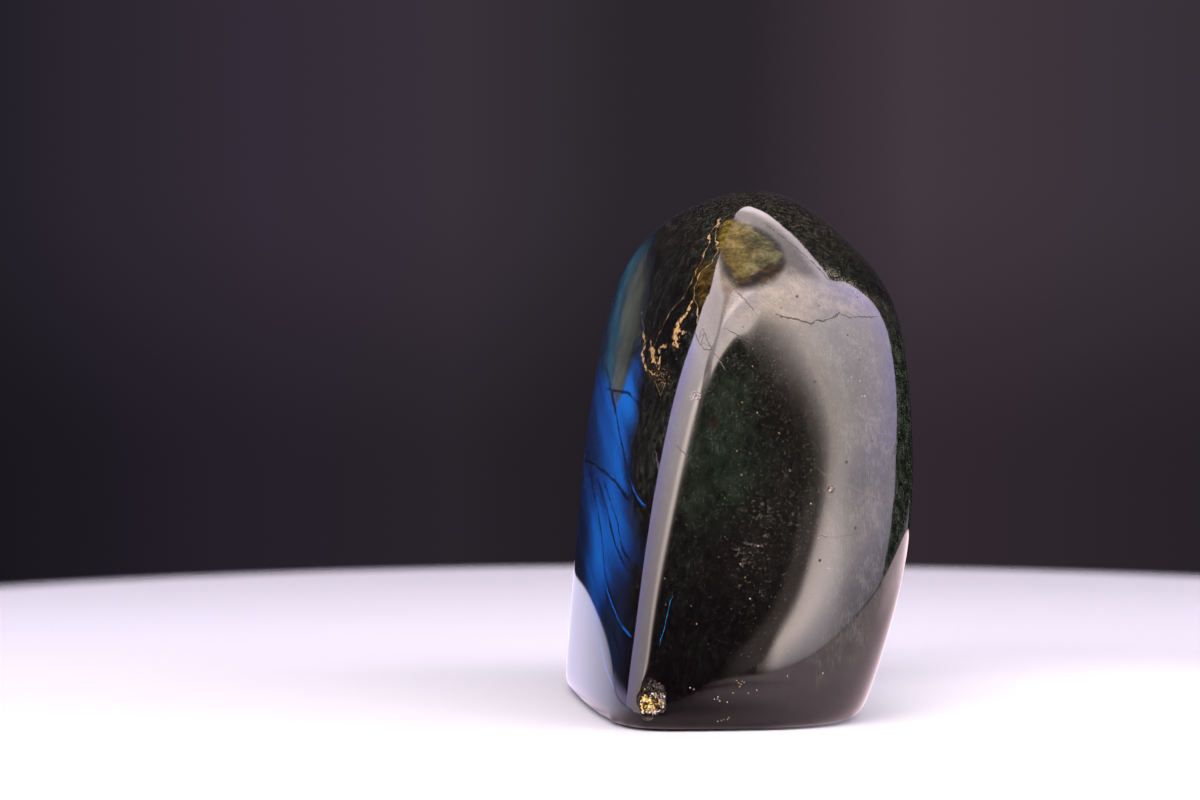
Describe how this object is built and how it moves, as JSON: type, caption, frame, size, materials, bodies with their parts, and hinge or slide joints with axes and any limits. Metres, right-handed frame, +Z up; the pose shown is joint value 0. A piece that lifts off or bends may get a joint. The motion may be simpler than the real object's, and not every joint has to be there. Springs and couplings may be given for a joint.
{
  "type": "polished labradorite freeform",
  "caption": "Upright freeform of dark green-black labradorite, polished all over, with a blue flash on its display face and a flat sawn base that it stands on.",
  "frame": {"origin": "centre of the stone's plan box, on the plane of its sawn base", "axes": "+Z up from the sawn base to the crown, -X out of the blue display face, -Y out of the broad side face"},
  "size_m": [0.0598, 0.0792, 0.09],
  "materials": {
    "stone": "polished"
  },
  "bodies": {
    "root": {"stone": "stone"}
  },
  "joints": []
}
